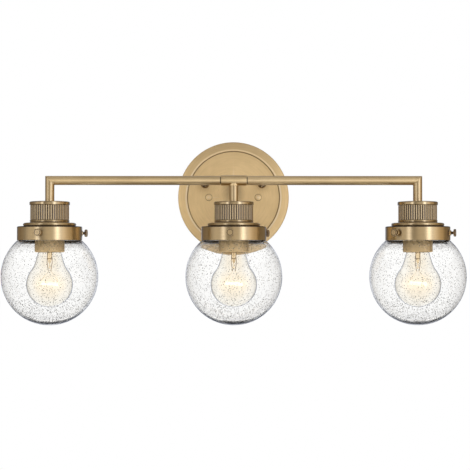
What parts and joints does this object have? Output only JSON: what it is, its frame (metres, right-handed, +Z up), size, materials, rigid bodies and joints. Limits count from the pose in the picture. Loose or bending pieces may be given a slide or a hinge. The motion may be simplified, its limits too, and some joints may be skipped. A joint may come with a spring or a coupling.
{
  "type": "vanity light bar",
  "caption": "Wall light bar: a straight satin brass tube on a round plate, with reeded caps, screw-in filament bulbs and clear seeded glass globes held by thumbscrews.",
  "frame": {"origin": "where the arm's axis meets the wall, on the back face of the crossbar", "axes": "+X along the bar to the right of someone who faces it, +Y into the wall, +Z up"},
  "size_m": [0.6096, 0.1835, 0.2479],
  "materials": {
    "satin_brass": "satin, brushed round each turned piece, aged and lacquered",
    "zinc_steel": "zinc plated",
    "green_screw": "green dyed plating",
    "wire_insulation": "matt",
    "porcelain": "glazed",
    "shell_metal": "bright, drawn",
    "bulb_glass": "clear",
    "filament": "glowing wire on a clear glass mount",
    "seeded_glass": "clear, with small air bubbles in the wall"
  },
  "bodies": {
    "fixture": {"backplate": "satin_brass", "plate_button_left": "satin_brass", "plate_button_right": "satin_brass", "support_arm": "satin_brass", "center_tee": "satin_brass", "bar_left": "satin_brass", "bar_right": "satin_brass", "center_stem": "satin_brass", "crossbar": "zinc_steel", "stiffener": "zinc_steel", "mounting_stud_left": "zinc_steel", "mounting_stud_right": "zinc_steel", "arm_nut": "zinc_steel", "ground_screw": "green_screw", "wiring_harness": "wire_insulation", "husk_left": "satin_brass", "shade_holder_left": "satin_brass", "socket_cup_left": "satin_brass", "lock_nut_left": "zinc_steel", "lampholder_left": "porcelain", "screw_shell_left": "shell_metal", "center_contact_left": "shell_metal", "globe_left": "seeded_glass", "husk_center": "satin_brass", "shade_holder_center": "satin_brass", "socket_cup_center": "satin_brass", "lock_nut_center": "zinc_steel", "lampholder_center": "porcelain", "screw_shell_center": "shell_metal", "center_contact_center": "shell_metal", "globe_center": "seeded_glass", "husk_right": "satin_brass", "shade_holder_right": "satin_brass", "socket_cup_right": "satin_brass", "lock_nut_right": "zinc_steel", "lampholder_right": "porcelain", "screw_shell_right": "shell_metal", "center_contact_right": "shell_metal", "globe_right": "seeded_glass"},
    "bulb_left": {"bulb_base_left": "shell_metal", "bulb_glass_left": "bulb_glass", "bulb_filament_left": "filament"},
    "screw_left_a": {"thumbscrew_left_a": "satin_brass"},
    "screw_left_b": {"thumbscrew_left_b": "satin_brass"},
    "screw_left_c": {"thumbscrew_left_c": "satin_brass"},
    "bulb_center": {"bulb_base_center": "shell_metal", "bulb_glass_center": "bulb_glass", "bulb_filament_center": "filament"},
    "screw_center_a": {"thumbscrew_center_a": "satin_brass"},
    "screw_center_b": {"thumbscrew_center_b": "satin_brass"},
    "screw_center_c": {"thumbscrew_center_c": "satin_brass"},
    "bulb_right": {"bulb_base_right": "shell_metal", "bulb_glass_right": "bulb_glass", "bulb_filament_right": "filament"},
    "screw_right_a": {"thumbscrew_right_a": "satin_brass"},
    "screw_right_b": {"thumbscrew_right_b": "satin_brass"},
    "screw_right_c": {"thumbscrew_right_c": "satin_brass"},
    "knob_left": {"ball_knob_left": "satin_brass"},
    "knob_right": {"ball_knob_right": "satin_brass"}
  },
  "joints": [
    {"name": "bulb_left_unscrew", "type": "hinge", "parent": "fixture", "child": "bulb_left", "pos_m": [-0.2413, -0.12, -0.1], "axis": [0, 0, -1], "range_deg": [0, 900]},
    {"name": "screw_left_a_out", "type": "slide", "parent": "fixture", "child": "screw_left_a", "axis": [-0.2113, -0.9774, 0], "range_m": [0, 0.004]},
    {"name": "screw_left_b_out", "type": "slide", "parent": "fixture", "child": "screw_left_b", "axis": [0.9521, 0.3057, 0], "range_m": [0, 0.004]},
    {"name": "screw_left_c_out", "type": "slide", "parent": "fixture", "child": "screw_left_c", "axis": [-0.7408, 0.6717, 0], "range_m": [0, 0.004]},
    {"name": "bulb_center_unscrew", "type": "hinge", "parent": "fixture", "child": "bulb_center", "pos_m": [0, -0.12, -0.1], "axis": [0, 0, -1], "range_deg": [0, 900]},
    {"name": "screw_center_a_out", "type": "slide", "parent": "fixture", "child": "screw_center_a", "axis": [-0.1045, -0.9945, 0], "range_m": [0, 0.004]},
    {"name": "screw_center_b_out", "type": "slide", "parent": "fixture", "child": "screw_center_b", "axis": [0.9135, 0.4067, 0], "range_m": [0, 0.004]},
    {"name": "screw_center_c_out", "type": "slide", "parent": "fixture", "child": "screw_center_c", "axis": [-0.809, 0.5878, 0], "range_m": [0, 0.004]},
    {"name": "bulb_right_unscrew", "type": "hinge", "parent": "fixture", "child": "bulb_right", "pos_m": [0.2413, -0.12, -0.1], "axis": [0, 0, -1], "range_deg": [0, 900]},
    {"name": "screw_right_a_out", "type": "slide", "parent": "fixture", "child": "screw_right_a", "axis": [-0.7145, -0.6997, 0], "range_m": [0, 0.004]},
    {"name": "screw_right_b_out", "type": "slide", "parent": "fixture", "child": "screw_right_b", "axis": [0.9632, -0.2689, 0], "range_m": [0, 0.004]},
    {"name": "screw_right_c_out", "type": "slide", "parent": "fixture", "child": "screw_right_c", "axis": [-0.2487, 0.9686, 0], "range_m": [0, 0.004]},
    {"name": "knob_left_off", "type": "slide", "parent": "fixture", "child": "knob_left", "axis": [0, -1, 0], "range_m": [0, 0.012]},
    {"name": "knob_right_off", "type": "slide", "parent": "fixture", "child": "knob_right", "axis": [0, -1, 0], "range_m": [0, 0.012]}
  ]
}
